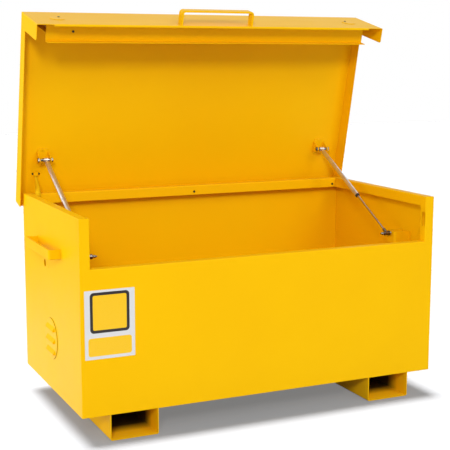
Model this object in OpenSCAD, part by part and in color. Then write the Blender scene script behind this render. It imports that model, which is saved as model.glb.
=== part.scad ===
// Lockable sheet-steel storage box on two fork skids, shown with its lid held open by gas struts.
// Millimetres, Z up, front towards -Y. Left and right are as seen from the front.
// The origin is under the middle of the box with its lid open.

/* [Body] */
// Width over the side panels
body_w = 1250; // [1100:5:1400]
// Depth over the front and rear panels
body_d = 647; // [600:1:720]
// Height of the panels above the skids
body_h = 606; // [560:1:680]
// Thickness of the sheet steel
sheet = 2; // [1.5:0.5:2.5]
// Inner radius of the sheet bends
bend_r = 1.5; // [1:0.5:2]
// Width of the flange around the top of the sides
rim_w = 30; // [26:1:36]
// Width of the flange along the top of the rear panel
rear_rim_w = 40; // [32:1:44]
// Height of the lip that hangs from the rim
rim_lip = 34; // [26:1:40]
// Depth of the cut-out in the front panel
cut_depth = 153; // [120:1:180]
// Depth of the returns around the cut-out
return_d = 30; // [28:1:34]
// Height of the up-turned edges of the floor pan
pan_edge = 27; // [15:1:50]

/* [Bolt slots] */
// Height of the slot in each post
slot_h = 47; // [40:1:54]
// Width of the slot in each post
slot_w = 19; // [16:1:20]
// Height of the middle of the slot below the rim
slot_drop = 76.5; // [72:0.5:78]

/* [Skids] */
// Height of the fork skids
skid_h = 83; // [75:1:110]
// Width of each fork skid
skid_w = 157; // [130:1:180]
// Distance from the body side to a skid
skid_inset = 88; // [60:1:140]
// Thickness of the skid steel
skid_t = 3; // [2:0.5:4]

/* [Lid] */
// How far the lid reaches past each side panel
lid_side_over = 12.5; // [8:0.5:14]
// How far the lid reaches past the front panel
lid_front_over = 9; // [8:0.5:12]
// How far the lid reaches past the rear panel
lid_rear_over = 9; // [9:0.5:10]
// Height of the lid's top face above the rim
lid_rise = 8; // [6:0.5:12]
// Height of the front flange
front_flange = 193; // [180:1:210]
// Height of the side flanges at the front
side_flange = 52; // [44:1:60]
// Height of the side flanges at the rear
side_flange_rear = 62; // [46:1:66]
// Length of the deep wings at the front ends of the side flanges
wing_len = 53; // [40:1:70]
// Radius of the lower corner of each wing
wing_r = 8; // [4:1:14]
// Depth of the hem under the front flange
hem_d = 7; // [5:0.5:7]
// Angle of the lid as it stands open
open_angle = 76.6; // [60:0.1:85]

/* [Hinges] */
// Distance of the hinge line behind the rear panel
hinge_out = 5.5; // [5.5:0.25:6]
// Depth of the hinge line below the rim
hinge_drop = 44; // [42:1:60]
// Outer radius of the hinge knuckles
knuckle_r = 5; // [4.5:0.25:5]
// Radius of the hinge pins
hinge_pin_r = 3; // [2.5:0.25:3.25]
// Width of each hinge
hinge_w = 80; // [60:1:110]
// Distance of the outer hinges from the sides of the body
hinge_inset = 175; // [145:5:275]
// Height of a hinge leaf
leaf_h = 38; // [30:1:38]

/* [Lock channel] */
// Distance from each end of the lid to the lock channel
channel_inset = 46.5; // [46.5:0.5:90]
// Depth of the channel's shelf below the lid top
channel_drop = 136; // [130:1:145]
// Distance from the lid's front to the rear face of the channel wall
channel_wall_y = 41.5; // [40:0.5:44]
// Distance from the lid's front to the rear face of the lip
channel_lip_y = 66.5; // [60:0.5:75]
// Height of the lip that hangs from the shelf
channel_lip = 27; // [18:1:32]

/* [Locks] */
// Distance of each keyhole from the end of the lid
key_inset = 91.5; // [88:0.5:130]
// Depth of the keyholes below the lid top
key_drop = 103; // [96:1:108]
// Diameter of the round key covers
cover_dia = 50; // [48:1:56]
// Sideways distance of the rivet from the middle of its cover
rivet_dx = 8; // [0:1:10]
// Height of the rivet above the middle of its cover
rivet_dz = 13; // [11:1:19]
// Width of the lock case
case_w = 80; // [70:1:90]
// Height of the lock case
case_h = 72; // [66:1:80]
// Depth of the lock case
case_d = 32; // [30:0.5:34]
// Length of a lock bolt
bolt_len = 67; // [60:1:72]
// Height of a lock bolt
bolt_h = 20; // [14:1:24]
// Thickness of a lock bolt
bolt_t = 10; // [8:0.5:12]
// How far a bolt end stands inside the slot with the bolt drawn back
bolt_back = 5; // [4:0.5:8]

/* [Handles] */
// Height of the flat bar of the handles
bar_h = 30; // [25:1:38]
// Thickness of the flat bar of the handles
bar_t = 6; // [4:0.5:8]
// Length of the side handles
side_handle_len = 277; // [220:1:320]
// How far the side handles stand out
side_handle_out = 38.5; // [36:0.5:55]
// Height of the lower edge of the side handles
side_handle_z = 537; // [500:1:540]
// Length of the lid handle
lid_handle_len = 264; // [200:1:320]
// How far the lid handle stands out
lid_handle_out = 49; // [40:1:55]
// Sideways place of the lid handle
lid_handle_x = -13; // [-100:1:100]
// Height of the lid handle above the lower edge of the front flange
lid_handle_up = 8; // [6:1:20]

/* [Vents and plate] */
// Diameter of the vent covers
vent_dia = 136; // [120:1:150]
// Height of the middle of the vents
vent_z = 254; // [220:1:300]
// How far a vent cover stands out
vent_out = 2.5; // [2:0.5:5]
// Length of a louvre
louvre_len = 86; // [70:1:90]
// Height of a louvre
louvre_h = 15; // [12:1:18]
// Distance from louvre to louvre
louvre_pitch = 38; // [32:1:40]
// Width of the sign plate
sign_w = 158; // [120:1:200]
// Height of the sign plate
sign_h = 211; // [160:1:240]
// Thickness of the sign plate
sign_t = 1; // [0.5:0.5:2]
// Diameter of the port hole in the left side
port_dia = 25; // [18:1:30]

/* [Gas struts] */
// Distance of the struts from the outer faces of the side panels
strut_inset = 80; // [78:1:90]
// Distance of the upper strut pin behind the middle of the body
strut_pin_y = 171.3; // [150:0.1:200]
// Depth of the upper strut pin below the underside of the lid
strut_pin_drop = 35.2; // [28:0.1:40]
// Distance of the ball stud in front of the middle of the body
stud_y = 163; // [140:1:180]
// Depth of the ball stud below the rim
stud_drop = 145.5; // [135:0.5:160]
// Diameter of the strut tube
tube_dia = 16; // [15:1:20]
// Length from the upper pin to the end of the tube
tube_len = 305; // [290:1:310]
// Diameter of the strut rod
rod_dia = 8; // [6:0.5:9]

/* [Hidden] */
$fn = 64;

yellow = [0.98, 0.77, 0.02];
white = [0.95, 0.95, 0.93];
bright = [0.75, 0.75, 0.76];
dark = [0.2, 0.2, 0.2];

// Clearances that mating pieces share
seat_gap = 0.3;
run_gap = 0.06;
slide_gap = 0.4;
eps = 1;
arc_steps = 4;
// Length of straight sheet kept beside a bend before the next cut
zone = bend_r + sheet + 1.5;
side_y = body_d / 2;
side_x = body_w / 2;
rim_z = skid_h + body_h;
cut_z = rim_z - cut_depth;
// The post return stands just inside the lip of the side rim
post_w = rim_w + sheet + 1;
post_x = side_x - post_w;
lip_x = side_x - rim_w;
slot_y = -side_y + 12;
slot_z = rim_z - slot_drop;

lid_w = body_w + 2 * lid_side_over;
lid_x = lid_w / 2;
lid_front = -side_y - lid_front_over;
lid_rear = side_y + lid_rear_over;
lid_top = rim_z + lid_rise;
lid_under = lid_top - sheet;
flange_z = lid_top - front_flange;
hem_inset = 57.5;
hem_x = lid_x - hem_inset;
channel_x = lid_x - channel_inset;
edge_r = bend_r + sheet;
hinge_y = side_y + hinge_out;
hinge_z = rim_z - hinge_drop;
hinge_x = side_x - hinge_inset;
leaf_gap = 1;
leaf_t = lid_rear_over - sheet - hinge_out + 0.5;
knuckle_w = hinge_w * 0.35;

// Half way between the sign plate and the rearmost edge of the open lid
back_y = hinge_y + (lid_rear - edge_r - hinge_y) * cos(open_angle)
    + (lid_top - edge_r - hinge_z) * sin(open_angle) + edge_r;
mid_y = (back_y - side_y - sign_t) / 2;

key_x = lid_x - key_inset;
key_z = lid_top - key_drop;
rivet_x = key_x - rivet_dx;
rivet_z = key_z + rivet_dz;
rivet_r = 2.5;
cover_t = 1.8;
case_x = key_x - 8;
case_z = key_z + 17;
case_front = lid_front + sheet;
bolt_z = key_z + 14;
bolt_y = slot_y;
bolt_end = post_x - bolt_back;
shelf_z = lid_top - channel_drop;
wall_flange = 16;
wall_y = lid_front + channel_wall_y;
lip_y = lid_front + channel_lip_y;

vent_y = -4;
side_handle_y = 10.5;
rear_hole_x = lip_x - 13;
rear_hole_drop = 22;
port_y = 57.6;
port_z = 492;
pilot_y = 12.6;
pilot_z = 486;
sign_x = -side_x + 12;
sign_z = 262;

strut_x = side_x - strut_inset;
pin_z = lid_under - strut_pin_drop;
stud_z = rim_z - stud_drop;
eye_w = 18;
eye_r = 8;
pin_r = 5;
bracket_w = 42;
bracket_l = 62;
ear_l = 44;
bracket_t = 3;
bracket_x = strut_x + 3;
pin_head = 7;
lower_x = strut_x + 15;
lower_y0 = -stud_y - 27;
lower_y1 = -stud_y + 25;
lower_h = 41.5;
lower_z = stud_z - 34;
neck_w = 5;
socket_in = 25;
socket_out = lower_x - strut_x - neck_w - 0.5;
socket_r = 8;
clip_r = 9.5;
saddle_x = lip_x - 25;
saddle_half = 10.5;
strap_x = saddle_x;
strap_y = 232;
screw_x = channel_x - 90;
screw_y = wall_y - 7;
strap_w = 10;
strap_t = 1.5;

// Where a Y-Z point of the closed lid stands with the lid open
function opened(p) = let (a = p - [hinge_y, hinge_z]) [
    hinge_y + a[0] * cos(open_angle) + a[1] * sin(open_angle),
    hinge_z - a[0] * sin(open_angle) + a[1] * cos(open_angle)
];

// The upper strut pin with the lid open, and the length and slant of a strut
open_pin = opened([strut_pin_y, pin_z]);
open_pin_y = open_pin[0];
open_pin_z = open_pin[1];
strut_dy = -stud_y - open_pin_y;
strut_dz = stud_z - open_pin_z;
strut_len = norm([strut_dy, strut_dz]);
strut_tilt = atan2(-strut_dy, strut_dz);

// Direction helpers for bent strips
function unit(a) = a / norm(a);
function left_of(a) = [-a[1], a[0]];
function turn(a, b) = atan2(a[0] * b[1] - a[1] * b[0], a * b);
function spin(a, w) = [a[0] * cos(w) - a[1] * sin(w), a[0] * sin(w) + a[1] * cos(w)];

// Points of one bend at p, from direction a to direction b, on the near or the far face of the strip
function bend(p, a, b, t, r, far) =
    let (w = turn(a, b), s = sign(w), k = s > 0 ? r + t : -r,
        n = left_of(a) + left_of(b),
        c = p + n * k / (1 + left_of(a) * left_of(b)),
        rad = (s > 0) == far ? r : r + t)
    [for (i = [0 : arc_steps]) c - s * rad * spin(left_of(a), w * i / arc_steps)];

function backwards(v) = [for (i = [len(v) - 1 : -1 : 0]) v[i]];

// Outline of a strip of thickness t that lies to the left of a path, with round bends
function folded(path, t = sheet, r = bend_r) =
    let (m = len(path) - 1, d = [for (i = [0 : m - 1]) unit(path[i + 1] - path[i])])
    concat(
        [path[0]],
        [for (i = [1 : 1 : m - 1]) each bend(path[i], d[i - 1], d[i], t, r, false)],
        [path[m], path[m] + t * left_of(d[m - 1])],
        [for (i = [m - 1 : -1 : 1]) each backwards(bend(path[i], d[i - 1], d[i], t, r, true))],
        [path[0] + t * left_of(d[0])]
    );

function arc(c, r, from, to, steps = 6) =
    [for (i = [0 : steps]) c + r * [cos(from + (to - from) * i / steps), sin(from + (to - from) * i / steps)]];

// Direction of the tangent point on a circle of radius r seen from a corner at half width b and height h
function tangent_angle(b, h, r) = atan2(h, b) - acos(r / norm([b, h]));

// Extrude a Y-Z outline along X
module along_x(x0, x1) translate([x0, 0, 0]) rotate([90, 0, 90]) linear_extrude(x1 - x0) children();

// Extrude an X-Z outline along Y
module along_y(y0, y1) translate([0, y1, 0]) rotate([90, 0, 0]) linear_extrude(y1 - y0) children();

// Extrude an X-Y outline along Z
module along_z(z0, z1) translate([0, 0, z0]) linear_extrude(z1 - z0) children();

// Place what is drawn on the body, centred in depth
module on_body() translate([0, -mid_y, 0]) children();

// Place what is drawn on the closed lid at its open angle
module on_lid()
    translate([0, hinge_y - mid_y, hinge_z]) rotate([-open_angle, 0, 0])
        translate([0, -hinge_y, -hinge_z]) children();

// Place what is drawn along a strut, with Z from the upper pin to the ball stud
module on_strut() translate([strut_x, open_pin_y - mid_y, open_pin_z]) rotate([strut_tilt, 0, 0]) children();

module to_left() mirror([1, 0, 0]) children();

// Outside of a rounded corner whose metal lies towards negative both ways
module corner_waste(r) difference() {
    translate([-r, -r]) square(r + eps);
    translate([-r, -r]) circle(r);
}

module soft_rect(w, h, r) {
    translate([-w / 2, -h / 2 + r]) square([w, h - 2 * r]);
    translate([-w / 2 + r, -h / 2]) square([w - 2 * r, h]);
    for (i = [-1, 1], j = [-1, 1]) translate([i * (w / 2 - r), j * (h / 2 - r)]) circle(r);
}

// Body

module front_panel() color(yellow) on_body() difference() {
    union() {
        along_y(-side_y, -side_y + sheet) polygon([
            [-side_x, skid_h], [side_x, skid_h], [side_x, rim_z], [post_x + zone, rim_z],
            [post_x + zone, cut_z - zone], [-post_x - zone, cut_z - zone],
            [-post_x - zone, rim_z], [-side_x, rim_z]
        ]);
        along_x(-post_x - sheet, post_x + sheet) polygon(folded([
            [-side_y + return_d, cut_z], [-side_y, cut_z], [-side_y, cut_z - zone - eps]
        ]));
        post_return();
        to_left() post_return();
    }
    for (i = [0, 1]) mirror([i, 0, 0]) {
        translate([side_x, -side_y]) along_z(0, rim_z + eps) mirror([0, 1]) corner_waste(sheet);
        along_x(post_x - eps, post_x + sheet + eps) translate([slot_y, slot_z]) soft_rect(slot_w, slot_h, 3);
    }
}

// Inward return of a post, with the flat corner where it meets the return below it
module post_return() {
    along_z(cut_z - sheet / 2, rim_z) polygon(folded([
        [post_x, -side_y + return_d], [post_x, -side_y], [post_x + zone + eps, -side_y]
    ]));
    along_y(-side_y, -side_y + sheet) translate([post_x + sheet / 2, cut_z - zone - eps]) square(zone + eps);
}

module side_sheet() difference() {
    along_y(-side_y + sheet, side_y - sheet) polygon(folded([
        [side_x, skid_h], [side_x, rim_z], [lip_x, rim_z], [lip_x, rim_z - rim_lip]
    ]));
    translate([side_x - sheet - eps, vent_y, vent_z]) rotate([0, 90, 0]) cylinder(d = vent_dia - 26, h = sheet + 2 * eps);
}

module right_side_panel() color(yellow) on_body() side_sheet();

module left_side_panel() color(yellow) on_body() difference() {
    to_left() side_sheet();
    translate([-side_x - eps, port_y, port_z]) rotate([0, 90, 0]) cylinder(d = port_dia, h = sheet + 2 * eps);
    translate([-side_x - eps, pilot_y, pilot_z]) rotate([0, 90, 0]) cylinder(d = 5, h = sheet + 2 * eps);
}

module rear_panel() color(yellow) on_body() difference() {
    union() {
        along_y(side_y - sheet, side_y) polygon([
            [-side_x, skid_h], [side_x, skid_h], [side_x, rim_z], [lip_x - 0.5, rim_z],
            [lip_x - 0.5, rim_z - zone], [-lip_x + 0.5, rim_z - zone], [-lip_x + 0.5, rim_z], [-side_x, rim_z]
        ]);
        along_x(-lip_x + 0.5, lip_x - 0.5) polygon(folded([
            [side_y, rim_z - zone], [side_y, rim_z], [side_y - rear_rim_w, rim_z], [side_y - rear_rim_w, rim_z - rim_lip]
        ]));
    }
    for (i = [0, 1]) mirror([i, 0, 0]) translate([side_x, side_y]) along_z(0, rim_z + eps) corner_waste(sheet);
    for (i = [-1, 0, 1]) translate([i * rear_hole_x, side_y - rear_rim_w + sheet + eps, rim_z - rear_hole_drop])
        rotate([90, 0, 0]) cylinder(d = 6, h = sheet + 2 * eps);
}

module floor_pan() color(yellow) on_body() {
    in_x = side_x - sheet;
    in_y = side_y - sheet;
    along_y(-in_y + zone, in_y - zone) polygon(folded([
        [-in_x, skid_h + pan_edge], [-in_x, skid_h], [in_x, skid_h], [in_x, skid_h + pan_edge]
    ]));
    for (i = [0, 1]) mirror([0, i, 0]) along_x(-in_x + zone, in_x - zone) polygon(folded([
        [-in_y, skid_h + pan_edge], [-in_y, skid_h], [-in_y + zone + eps, skid_h]
    ]));
}

module skid() on_body() translate([side_x - skid_inset - skid_w / 2, 0, 0])
    along_y(-side_y, side_y) polygon(folded([
        [-skid_w / 2, skid_h], [-skid_w / 2, 0], [skid_w / 2, 0], [skid_w / 2, skid_h]
    ], skid_t, skid_t));

module right_skid() color(yellow) skid();
module left_skid() color(yellow) to_left() skid();

module side_handle() on_body() along_z(side_handle_z, side_handle_z + bar_h) translate([side_x, side_handle_y])
    polygon(folded([
        [0, -side_handle_len / 2], [side_handle_out, -side_handle_len / 2],
        [side_handle_out, side_handle_len / 2], [0, side_handle_len / 2]
    ], bar_t, 3));

module right_side_handle() color(yellow) side_handle();
module left_side_handle() color(yellow) to_left() side_handle();

// A louvre hood with closed ends, open at its lower edge
module louvre() {
    hood_t = 1.2;
    hood_out = 7;
    difference() {
        along_x(-louvre_len / 2, louvre_len / 2) polygon([
            [0, louvre_h / 2], [hood_out, -louvre_h / 2 + 2], [hood_out, -louvre_h / 2], [0, -louvre_h / 2]
        ]);
        along_x(-louvre_len / 2 + hood_t, louvre_len / 2 - hood_t) polygon([
            [-eps, louvre_h / 2 - 2 * hood_t], [0, louvre_h / 2 - 2 * hood_t],
            [hood_out - hood_t, -louvre_h / 2 + 2], [hood_out - hood_t, -louvre_h / 2 - eps], [-eps, -louvre_h / 2 - eps]
        ]);
    }
}

// A shallow round dish with a rolled rim and three louvres
module vent_cover() on_body() translate([side_x, vent_y, vent_z]) {
    dish_t = 1.5;
    rim_r = vent_dia / 2;
    difference() {
        rotate([0, 90, 0]) rotate_extrude() polygon(concat(
            [[rim_r - dish_t, 0], [rim_r, 0]],
            arc([rim_r - vent_out, 0], vent_out, 0, 90, 4),
            [[0, vent_out], [0, vent_out - dish_t]],
            arc([rim_r - vent_out, 0], vent_out - dish_t, 90, 0, 4)
        ));
        for (k = [-1, 0, 1]) translate([0, -louvre_len / 2 + 2, k * louvre_pitch - louvre_h / 2])
            cube([vent_out + eps, louvre_len - 4, louvre_h / 2]);
    }
    for (k = [-1, 0, 1]) translate([vent_out, 0, k * louvre_pitch]) rotate([0, 0, -90]) louvre();
}

module right_vent_cover() color(yellow) vent_cover();
module left_vent_cover() color(yellow) to_left() vent_cover();

module sign_plate() color(white) on_body() along_y(-side_y - sign_t, -side_y)
    translate([sign_x + sign_w / 2, sign_z + sign_h / 2]) soft_rect(sign_w, sign_h, 2);

module lower_bracket() on_body() difference() {
    along_z(lower_z, lower_z + lower_h) polygon(folded([
        [side_x - sheet, lower_y1], [lower_x, lower_y1], [lower_x, lower_y0], [side_x - sheet, lower_y0]
    ], bracket_t, bracket_t));
    translate([lower_x - eps, -stud_y, stud_z]) rotate([0, 90, 0]) cylinder(r = 4, h = bracket_t + 2 * eps);
}

module right_lower_bracket() color(yellow) lower_bracket();
module left_lower_bracket() color(yellow) to_left() lower_bracket();

// Collar, neck, threaded shank and nut of the stud that takes the rod socket
module ball_stud() on_body() translate([lower_x, -stud_y, stud_z]) rotate([0, 90, 0]) {
    translate([0, 0, -neck_w]) cylinder(r = 4.5, h = neck_w);
    translate([0, 0, -2.5]) cylinder(r = 7.5, h = 2.5, $fn = 6);
    cylinder(r = 4, h = bracket_t + 9);
    translate([0, 0, bracket_t]) cylinder(r = 7.5, h = 6, $fn = 6);
}

module right_ball_stud() color(bright) ball_stud();
module left_ball_stud() color(bright) to_left() ball_stud();

// Hinges

module body_leaf(x) on_body() translate([x, hinge_y, hinge_z]) difference() {
    union() {
        translate([-hinge_w / 2, -hinge_out, -leaf_h]) cube([hinge_w, leaf_t, leaf_h]);
        translate([-hinge_w / 2, 0, 0]) rotate([0, 90, 0]) cylinder(r = knuckle_r, h = hinge_w);
    }
    translate([-knuckle_w / 2 - 0.25, -hinge_out - eps, -knuckle_r - leaf_gap])
        cube([knuckle_w + 0.5, hinge_out + knuckle_r + 2 * eps, 2 * knuckle_r + 2 * leaf_gap]);
    translate([-hinge_w / 2 - eps, 0, 0]) rotate([0, 90, 0]) cylinder(r = hinge_pin_r, h = hinge_w + 2 * eps);
}

module left_hinge_body_leaf() color(yellow) body_leaf(-hinge_x);
module middle_hinge_body_leaf() color(yellow) body_leaf(0);
module right_hinge_body_leaf() color(yellow) body_leaf(hinge_x);

module hinge_pin(x) on_body() translate([x - hinge_w / 2 - 2, hinge_y, hinge_z]) rotate([0, 90, 0]) {
    cylinder(r = hinge_pin_r, h = hinge_w + 4);
    cylinder(r = knuckle_r - 0.5, h = 2);
}

module left_hinge_pin() color(bright) hinge_pin(-hinge_x);
module middle_hinge_pin() color(bright) hinge_pin(0);
module right_hinge_pin() color(bright) hinge_pin(hinge_x);

module lid_leaf(x) on_lid() translate([x, hinge_y, hinge_z]) difference() {
    leaf_y = lid_rear - sheet - leaf_t - hinge_y;
    union() {
        translate([-hinge_w / 2, leaf_y, knuckle_r + leaf_gap]) cube([hinge_w, leaf_t, leaf_h - knuckle_r - leaf_gap]);
        translate([-knuckle_w / 2, leaf_y, 0]) cube([knuckle_w, leaf_t, leaf_h / 2]);
        translate([-knuckle_w / 2, 0, 0]) rotate([0, 90, 0]) cylinder(r = knuckle_r, h = knuckle_w);
    }
    translate([-hinge_w / 2, 0, 0]) rotate([0, 90, 0]) cylinder(r = hinge_pin_r + run_gap, h = hinge_w);
}

module left_hinge_lid_leaf() color(yellow) lid_leaf(-hinge_x);
module middle_hinge_lid_leaf() color(yellow) lid_leaf(0);
module right_hinge_lid_leaf() color(yellow) lid_leaf(hinge_x);

// Lid

module lid_shell() color(yellow) on_lid() difference() {
    union() {
        along_x(-lid_x + sheet, lid_x - sheet) polygon(folded([
            [lid_rear, hinge_z + knuckle_r + leaf_gap], [lid_rear, lid_top],
            [lid_front, lid_top], [lid_front, flange_z + zone]
        ]));
        along_x(-hem_x, hem_x) polygon(folded([
            [lid_front, flange_z + zone], [lid_front, flange_z], [lid_front + hem_d, flange_z]
        ]));
        for (i = [0, 1]) mirror([i, 0, 0]) {
            along_y(lid_front, lid_front + sheet) translate([hem_x, flange_z]) square([lid_x - sheet - hem_x, zone]);
            along_x(lid_x - sheet, lid_x) polygon(concat(
                [[lid_rear, lid_top], [lid_front, lid_top], [lid_front, flange_z]],
                arc([lid_front + wing_len - wing_r, flange_z + wing_r], wing_r, -90, 0),
                [[lid_front + wing_len, lid_top - side_flange], [lid_rear, lid_top - side_flange_rear]]
            ));
        }
    }
    for (i = [0, 1]) mirror([i, 0, 0]) {
        along_y(lid_front - eps, lid_rear + eps) translate([lid_x, lid_top]) corner_waste(edge_r);
        along_z(flange_z - eps, lid_top + eps) translate([lid_x, lid_front]) mirror([0, 1]) corner_waste(edge_r);
        along_z(flange_z - eps, lid_top + eps) translate([lid_x, lid_rear]) corner_waste(edge_r);
        along_y(lid_front - eps, lid_front + sheet + eps) translate([key_x, key_z]) circle(d = 18);
        along_y(lid_front - eps, lid_front + sheet + eps) translate([rivet_x, rivet_z]) circle(rivet_r);
    }
}

// Wall under the lid plate, with a flange that carries the channel cover
module lock_channel() color(yellow) on_lid() difference() {
    along_x(-channel_x, channel_x) polygon(folded([
        [wall_y - sheet, lid_under], [wall_y - sheet, shelf_z + 2 * sheet], [wall_y - wall_flange, shelf_z + 2 * sheet]
    ], sheet, bend_r));
    translate([-screw_x, screw_y, shelf_z]) cylinder(d = 5, h = 3 * sheet);
}

// Cover that closes the channel, with a low front edge and a deep rear lip
module channel_cover() color(yellow) on_lid() difference() {
    along_x(-channel_x, channel_x) polygon(folded([
        [case_front, shelf_z + 12], [case_front, shelf_z], [lip_y - sheet, shelf_z],
        [lip_y - sheet, shelf_z - channel_lip]
    ]));
    translate([-screw_x, screw_y, shelf_z - eps]) cylinder(d = 5, h = sheet + 2 * eps);
}

module lid_handle() color(yellow) on_lid()
    along_z(flange_z + lid_handle_up, flange_z + lid_handle_up + bar_h) translate([lid_handle_x, lid_front])
        polygon(folded([
            [-lid_handle_len / 2, 0], [-lid_handle_len / 2, -lid_handle_out],
            [lid_handle_len / 2, -lid_handle_out], [lid_handle_len / 2, 0]
        ], bar_t, 6));

// U-shaped bracket on a longer base plate under the lid, its two ears rounded about the strut pin
module upper_bracket() on_lid() translate([bracket_x, strut_pin_y, 0]) difference() {
    ear_r = 9;
    ear_a = tangent_angle(ear_l / 2, strut_pin_drop, ear_r);
    union() {
        intersection() {
            along_y(-ear_l / 2, ear_l / 2) polygon(folded([
                [bracket_w / 2, pin_z - ear_r - eps], [bracket_w / 2, lid_under],
                [-bracket_w / 2, lid_under], [-bracket_w / 2, pin_z - ear_r - eps]
            ], bracket_t, bend_r));
            along_x(-bracket_w, bracket_w) {
                translate([0, pin_z]) circle(ear_r);
                polygon([
                    [-ear_l / 2, lid_under], [-ear_r * cos(ear_a), pin_z + ear_r * sin(ear_a)],
                    [ear_r * cos(ear_a), pin_z + ear_r * sin(ear_a)], [ear_l / 2, lid_under]
                ]);
            }
        }
        along_z(lid_under - bracket_t, lid_under) difference() {
            soft_rect(bracket_w - 2 * bracket_t, bracket_l, 4);
            for (i = [-1, 1]) translate([0, i * (bracket_l / 2 - 6)]) circle(d = 5);
        }
    }
    translate([-bracket_w, 0, pin_z]) rotate([0, 90, 0]) cylinder(r = pin_r, h = 2 * bracket_w);
}

module right_upper_bracket() color(yellow) upper_bracket();
module left_upper_bracket() color(yellow) to_left() upper_bracket();

// Pin with a hexagon head and a nut with a domed end
module strut_pin() on_lid() translate([bracket_x, strut_pin_y, pin_z]) rotate([0, 90, 0]) {
    half = bracket_w / 2;
    translate([0, 0, -half]) cylinder(r = pin_r, h = bracket_w);
    translate([0, 0, half]) cylinder(r = pin_r + 3, h = pin_head - 2, $fn = 6);
    translate([0, 0, -half - pin_head + 2]) cylinder(r = pin_r + 3, h = pin_head - 2, $fn = 6);
    translate([0, 0, -half - pin_head]) cylinder(r = pin_r - 1, h = 3);
}

module right_strut_pin() color(dark) strut_pin();
module left_strut_pin() color(dark) to_left() strut_pin();

module lock_case() on_lid() difference() {
    translate([case_x - case_w / 2, case_front, case_z - case_h / 2]) cube([case_w, case_d, case_h]);
    translate([bolt_end - bolt_len - 4, bolt_y - bolt_t / 2 - slide_gap, bolt_z - bolt_h / 2 - slide_gap])
        cube([case_w + bolt_len, bolt_t + 2 * slide_gap, bolt_h + 2 * slide_gap]);
    along_y(case_front - eps, case_front + 4) translate([key_x, key_z]) {
        circle(d = 8);
        translate([-1.5, -9]) square([3, 9]);
    }
}

module right_lock_case() color(dark) lock_case();
module left_lock_case() color(dark) to_left() lock_case();

// Bolt with a chamfered nose
module lock_bolt() on_lid() translate([bolt_end, bolt_y, 0]) along_z(bolt_z - bolt_h / 2, bolt_z + bolt_h / 2) {
    nose = 2;
    polygon([
        [-bolt_len, -bolt_t / 2], [-nose, -bolt_t / 2], [0, nose - bolt_t / 2],
        [0, bolt_t / 2 - nose], [-nose, bolt_t / 2], [-bolt_len, bolt_t / 2]
    ]);
}

module right_lock_bolt() color(bright) lock_bolt();
module left_lock_bolt() color(bright) to_left() lock_bolt();

// Round cover with a bevelled edge, turning on a rivet above its middle
module key_cover() on_lid() difference() {
    translate([key_x, lid_front - seat_gap, key_z]) rotate([90, 0, 0]) rotate_extrude() polygon([
        [0, 0], [cover_dia / 2, 0], [cover_dia / 2, cover_t - 1], [cover_dia / 2 - 3, cover_t], [0, cover_t]
    ]);
    translate([rivet_x, lid_front + eps, rivet_z]) rotate([90, 0, 0]) cylinder(r = rivet_r + run_gap, h = 10);
}

module right_key_cover() color(yellow) key_cover();
module left_key_cover() color(yellow) to_left() key_cover();

module cover_rivet() on_lid() translate([rivet_x, case_front, rivet_z]) rotate([90, 0, 0]) {
    head_z = sheet + seat_gap + cover_t + seat_gap;
    cylinder(r = rivet_r, h = head_z + 0.5);
    translate([0, 0, head_z]) rotate_extrude() polygon(concat([[0, 0], [4, 0]], arc([2.8, 0.2], 1.2, 0, 90, 4), [[0, 1.4]]));
}

module right_cover_rivet() color(bright) cover_rivet();
module left_cover_rivet() color(bright) to_left() cover_rivet();

module strap_saddle() color(yellow) on_lid() translate([-saddle_x, strap_y, lid_under]) difference() {
    along_y(-7, 7) polygon(folded([
        [15, 0], [8, 0], [7, -4.5], [-7, -4.5], [-8, 0], [-15, 0]
    ], 1.5, 1));
    for (i = [-1, 1]) translate([i * saddle_half, 0, -5]) cylinder(r = 1.5, h = 10);
}

// Flat strap from the saddle over the inner edge of the rear rim to the rear lip
module lid_strap() color(yellow) {
    strap_z = lid_under - strap_t - seat_gap;
    top = opened([strap_y - 6, strap_z]);
    leave = opened([strap_y + 9, strap_z]);
    low = [side_y - rear_rim_w - strap_t - seat_gap, rim_z - 20];
    over = [low[0], rim_z + 3];
    middle = (leave + over) / 2 + [-5, -3];
    on_body() along_x(-strap_x - strap_w / 2, -strap_x + strap_w / 2)
        polygon(folded([top, leave, middle, over, low], strap_t, 2));
}

// Struts

module strut_tube() on_strut() difference() {
    union() {
        translate([-eye_w / 2, 0, 0]) rotate([0, 90, 0]) cylinder(r = eye_r, h = eye_w);
        cylinder(r = 4, h = 24);
        translate([0, 0, 20]) cylinder(d = tube_dia, h = tube_len - 20);
    }
    translate([-eye_w, 0, 0]) rotate([0, 90, 0]) cylinder(r = pin_r + run_gap, h = 2 * eye_w);
    translate([0, 0, 26]) cylinder(d = tube_dia - 3, h = tube_len - 36);
    translate([0, 0, tube_len - 14]) cylinder(d = rod_dia + 2 * seat_gap, h = 20);
}

module right_strut_tube() color(bright) strut_tube();
module left_strut_tube() color(bright) to_left() strut_tube();

module strut_seal() on_strut() difference() {
    translate([0, 0, tube_len]) cylinder(d = tube_dia - 1, h = 6);
    translate([0, 0, tube_len - eps]) cylinder(d = rod_dia + 2 * seat_gap, h = 8);
}

module right_strut_seal() color(dark) strut_seal();
module left_strut_seal() color(dark) to_left() strut_seal();

// Rod with its piston inside the tube
module strut_rod() on_strut() {
    piston = tube_len - 26;
    translate([0, 0, piston]) cylinder(d = rod_dia, h = strut_len - socket_r - piston - 2);
    translate([0, 0, piston]) cylinder(d = tube_dia - 3 - 2 * seat_gap, h = 10);
}

module right_strut_rod() color(bright) strut_rod();
module left_strut_rod() color(bright) to_left() strut_rod();

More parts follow.
